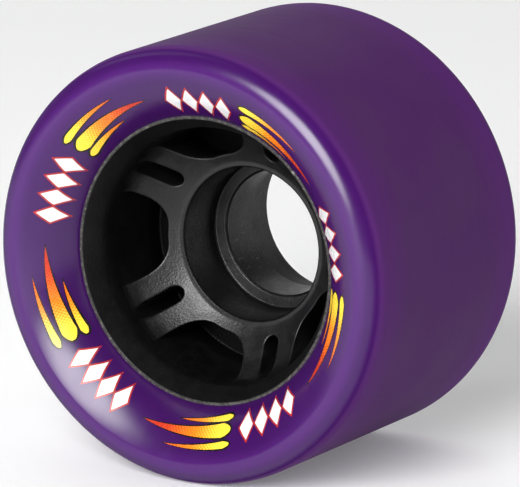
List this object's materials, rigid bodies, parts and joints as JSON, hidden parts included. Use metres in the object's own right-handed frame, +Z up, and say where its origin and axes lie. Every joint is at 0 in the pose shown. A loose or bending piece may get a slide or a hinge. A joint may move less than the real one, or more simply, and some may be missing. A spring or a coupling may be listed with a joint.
{
  "type": "roller skate wheel",
  "caption": "Wide quad roller skate wheel: a cast polyurethane tyre with dished sidewalls on a moulded hub with split spokes and a bearing seat at each end.",
  "frame": {"origin": "centre of the wheel, on the axle line, halfway across the tread", "axes": "+Y along the axle to the rear face, which turns to the skate; the dished outer face looks to -Y; +Z up; a spoke's slot lies on +X"},
  "size_m": [0.062, 0.0416, 0.062],
  "materials": {
    "polyurethane": "glossy purple sidewalls, satin tread with fine turning marks",
    "nylon": "satin black with a faint mottled sheen"
  },
  "bodies": {
    "root": {"tyre": "polyurethane", "hub": "nylon"}
  },
  "joints": []
}
